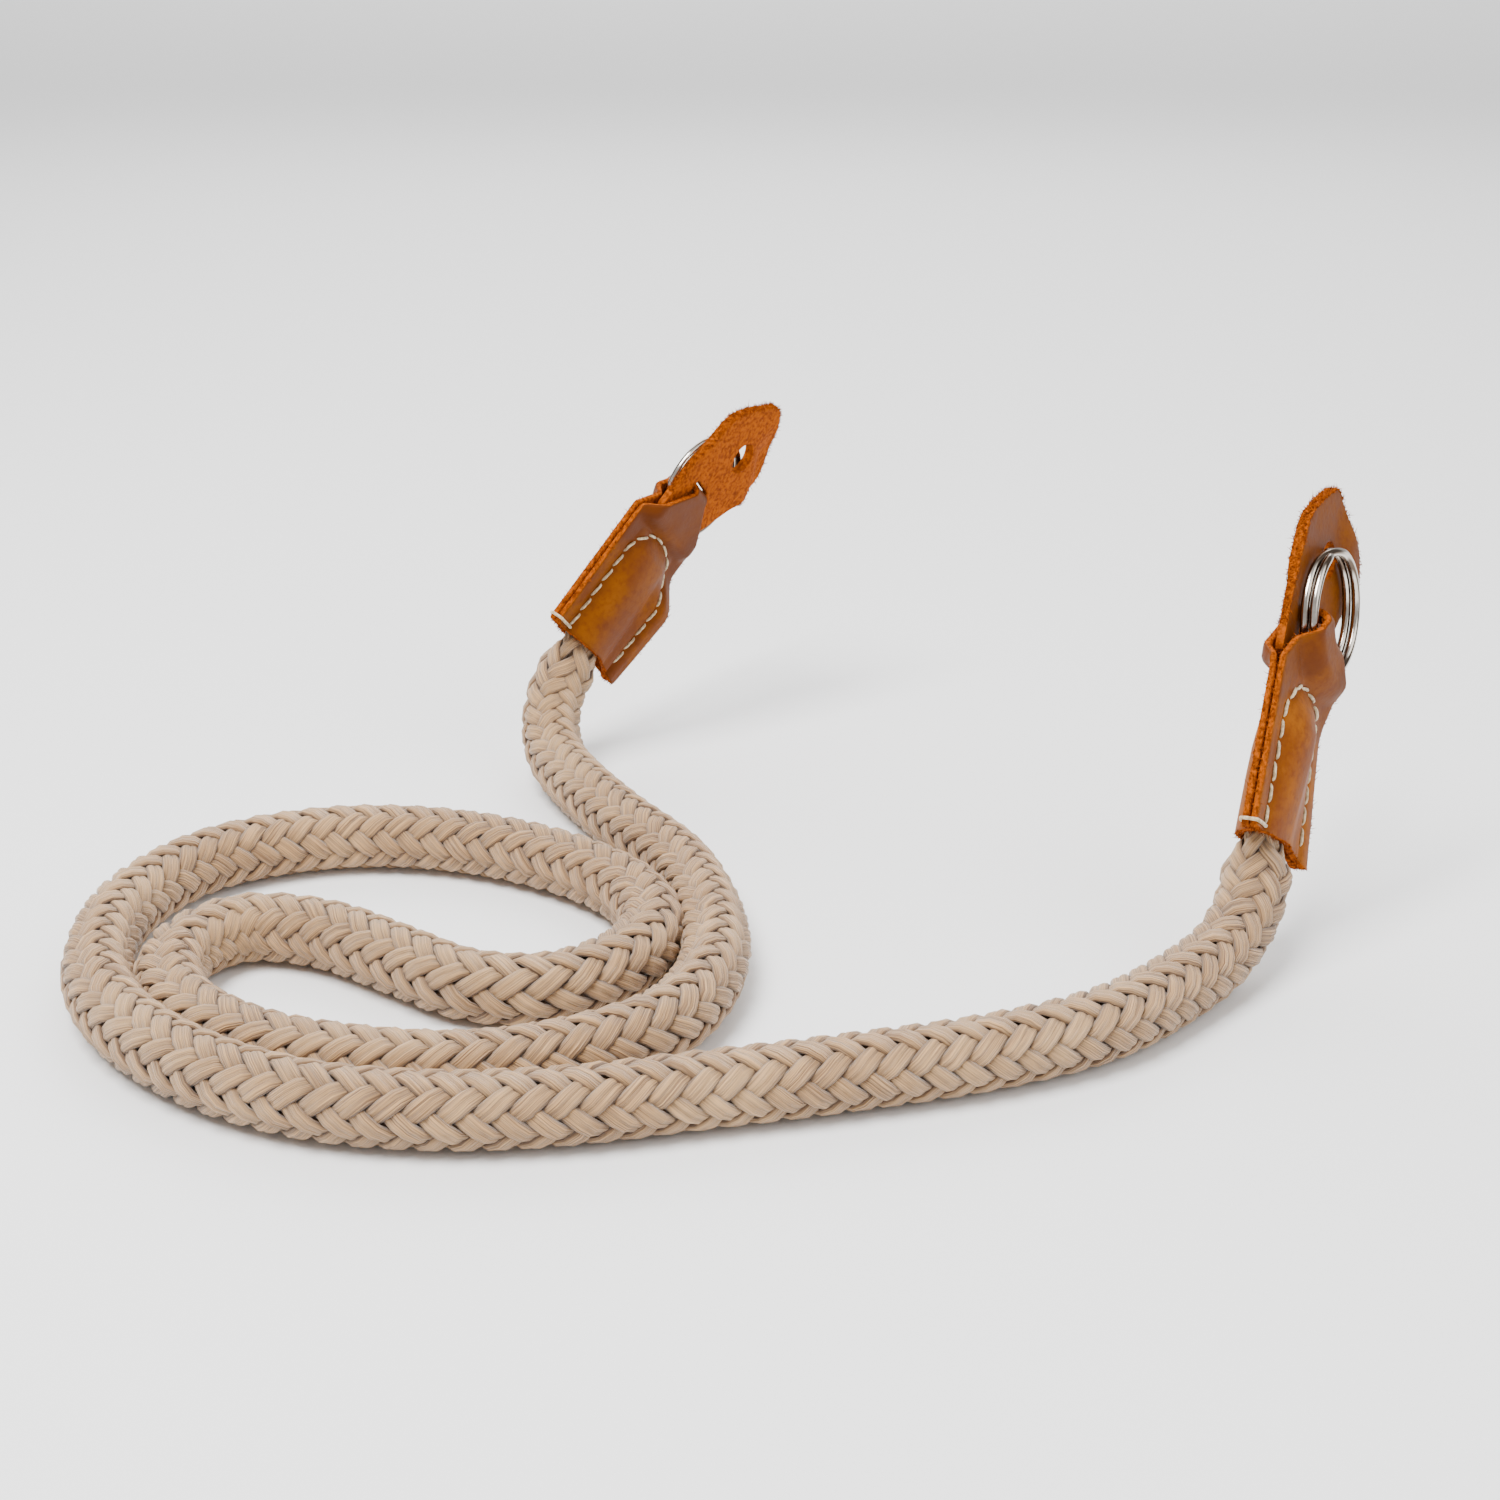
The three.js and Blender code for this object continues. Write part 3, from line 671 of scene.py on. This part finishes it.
def spline(p, step):  # centripetal spline through the points, then even steps
    out = []
    p = [np.array(q, float) for q in p]
    for i in range(len(p) - 1):
        a, b = p[i], p[i + 1]
        z = p[i - 1] if i else 2 * a - b
        y = p[i + 2] if i + 2 < len(p) else 2 * b - a
        k0, k1, k2 = (max(1e-6, np.linalg.norm(d)) ** 0.5 for d in (a - z, b - a, y - b))
        ta = ((a - z) / k0 - (b - z) / (k0 + k1) + (b - a) / k1) * k1
        tb = ((b - a) / k1 - (y - a) / (k1 + k2) + (y - b) / k2) * k1
        for w in np.linspace(0, 1, 60, endpoint=False):
            out.append(a + ta * w + (-3 * a + 3 * b - 2 * ta - tb) * w * w + (2 * a - 2 * b + ta + tb) * w ** 3)
    out.append(p[-1])
    out = np.array(out)
    s = np.concatenate([[0], np.cumsum(np.linalg.norm(np.diff(out, axis=0), axis=1))])
    at = np.linspace(0, s[-1], int(s[-1] / step) + 1)
    return np.stack([np.interp(at, s, out[:, k]) for k in range(3)], 1), at


def buildRope():
    line, s = spline(route, rope["step"])
    for _ in range(3):
        line[1:-1] = (line[:-2] + 2 * line[1:-1] + line[2:]) / 4
    n = len(line)
    t = np.gradient(line, axis=0)
    t /= np.linalg.norm(t, axis=1, keepdims=True)
    a = np.zeros((n, 3))
    a[0] = np.cross(t[0], (0, 0, 1))
    for i in range(n):  # a direction across the rope that doesn't twist
        a[i] = a[i] if i == 0 else a[i - 1]
        a[i] -= t[i] * (a[i] @ t[i])
        a[i] /= np.linalg.norm(a[i])
    b = np.cross(t, a)
    flat = np.array((rope["wide"] / rope["d"], rope["thick"] / rope["d"], 1))
    press = []  # for each end, its rotation and how much each point is pressed
    for e in ends.values():
        v = toLocal(line * mm, e)
        w = ease((v[:, 2] - rope["pressFrom"]) / (rope["pressTo"] - rope["pressFrom"]))
        press.append((endFrame(e)[0], w * (np.hypot(v[:, 0], v[:, 1]) < rope["nearEnd"])))

    def place(off, i):
        p = line[i] + off
        for r, w in press:
            if w[i] > 0:
                p = line[i] + r @ (off @ r * mix(1, flat, w[i]))
        return p

    verts, faces, creaseShade, uvs = [], [], [], []
    m = len(strandProfile)
    per = s[-1] / (n - 1)
    for hand in (1, -1):
        for k in range(rope["strands"]):
            start = len(verts)
            jitter = rng.uniform(-rope["loose"], rope["loose"])
            own = (k + (0 if hand > 0 else 0.5)) * math.pi / 4
            for i in range(n):
                q = hand * 2 * math.pi * s[i] / rope["lead"] + own + jitter
                c = hand * math.cos(4 * q)
                f = c * (rope["steep"] - (rope["steep"] - 1) * c * c)  # 1 on top, -1 below
                rad = rope["mid"] + rope["wave"] * f
                tilt = math.atan2(2 * math.pi * rad, rope["lead"])
                half = rope["strandHalf"] * (1 - rope["slim"] * (1 - f) / 2)
                for vx, vy in strandProfile:
                    along = -hand * vx * half * math.sin(tilt)
                    r = rad + vy * rope["strandThick"]
                    ang = q + vx * half * math.cos(tilt) / rad
                    off = (a[i] * math.cos(ang) + b[i] * math.sin(ang)) * r + t[i] * along
                    verts.append(place(off, i))
                    # painted crease shade: darker where a strand dips under its neighbours, and towards its
                    # borders
                    borderShade = rope["borderShade"] * max(0.0, abs(vx) - rope["borderFrom"]) / rope["borderOver"]
                    gap = (rope["creaseShadeAt"] - r) / rope["creaseShadeOver"] + borderShade
                    creaseShade.append(float(np.clip(gap, 0, rope["creaseShadeMost"])))
            for i in range(n - 1):
                for j in range(m):
                    p0, p1 = start + i * m + j, start + i * m + (j + 1) % m
                    faces.append((p0, p1, p1 + m, p0 + m))
                    for di, dj in ((0, 0), (0, 1), (1, 1), (1, 0)):
                        uvs.append(((s[i] + di * per) / strandUv["length"] + k * strandUv["next"] + hand,
                                    (j + dj) / m + strandUv["across"] * k))
            faces.append(tuple(start + j for j in range(m))[::-1])
            faces.append(tuple(start + (n - 1) * m + j for j in range(m)))
            uvs += [(0, 0)] * (2 * m)
    core, sides = len(verts), rope["coreSides"]  # core in the painted crease shade, so that nothing shows through the gaps
    for i in range(n):
        for j in range(sides):
            q = 2 * math.pi * j / sides
            verts.append(place((a[i] * math.cos(q) + b[i] * math.sin(q)) * rope["core"], i))
            creaseShade.append(rope["creaseShadeMost"])
    for i in range(n - 1):
        for j in range(sides):
            p0, p1 = core + i * sides + j, core + i * sides + (j + 1) % sides
            faces.append((p0, p1, p1 + sides, p0 + sides))
            uvs += [(0, 0)] * 4
    faces += [tuple(core + j for j in range(sides))[::-1], tuple(core + (n - 1) * sides + j for j in range(sides))]
    uvs += [(0, 0)] * (2 * sides)
    o = solid("ropeBraid", np.array(verts) * mm, faces, ["fibre"])
    o.data.uv_layers.new(name="strand").data.foreach_set("uv", np.array(uvs, np.float32).ravel())
    o.data.attributes.new("creaseShade", "FLOAT", "POINT").data.foreach_set("value", creaseShade)
    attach(o, "strap")
    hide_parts("rope")
    return o


print("rope", len(buildRope().data.polygons))
for key, e in ends.items():
    t = buildTab("tabLeather_" + key, e)
    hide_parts("tab_" + key)
    buildStitches("stitches_" + key, e)
    g = buildGuard("guardLeather_" + key, e)
    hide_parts("guard_" + key)
    w = buildRing("splitRingWire_" + key, e, "ring_" + key)
    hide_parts("split_ring_" + key)
    print(key, len(t.data.polygons), len(g.data.polygons), len(w.data.polygons))

# floor, light and view; in metres, but the view's place in millimetres
ground = dict(z=-57.3 * mm, left=-3, right=3, near=-1.5, far=4)
around = dict(color=(1, 1, 1, 1), strength=0.62)
middle = (-0.1, -0.02, -0.04)
lamps = dict(
    key=dict(at=(-0.35, -0.25, 0.75), aim=middle, size=0.45, power=17),
    fill=dict(at=(0.5, -0.3, 0.5), aim=middle, size=0.7, power=4),
    back=dict(at=(-0.1, 0.7, 0.6), aim=middle, size=0.8, power=5),
    far=dict(at=(-0.1, 2.7, 1.4), aim=(-0.1, 2.6, 0), size=2.5, power=48))
view = dict(at=(-97.4, -355.4, 112.7), down=22.4, lens=54, film=36)


def buildFloor():
    corners = [(ground[x], ground[y], ground["z"]) for x, y in (
        ("left", "near"), ("right", "near"), ("right", "far"), ("left", "far"))]
    solid("floor", corners, [(0, 1, 2, 3)], ["floor"])


def buildLight():
    studio = bpy.data.worlds.new("studio")
    bpy.context.scene.world = studio
    studio.use_nodes = True
    studio.node_tree.nodes["Background"].inputs[0].default_value = around["color"]
    studio.node_tree.nodes["Background"].inputs[1].default_value = around["strength"]
    for name, given in lamps.items():
        lamp = bpy.data.lights.new(name, "AREA")
        lamp.size, lamp.energy = given["size"], given["power"]
        o = bpy.data.objects.new(name, lamp)
        o.location = given["at"]
        o.rotation_euler = (Vector(given["aim"]) - Vector(given["at"])).to_track_quat("-Z", "Y").to_euler()
        bpy.context.collection.objects.link(o)


def buildView():
    lens = bpy.data.cameras.new("camera")
    lens.lens, lens.sensor_width = view["lens"], view["film"]
    o = bpy.data.objects.new("camera", lens)
    o.location = [v * mm for v in view["at"]]
    o.rotation_euler = Euler((math.radians(90 - view["down"]), 0, 0))
    bpy.context.collection.objects.link(o)
    bpy.context.scene.camera = o


buildFloor()
buildLight()
buildView()
print("floor, light and view", len(lamps))
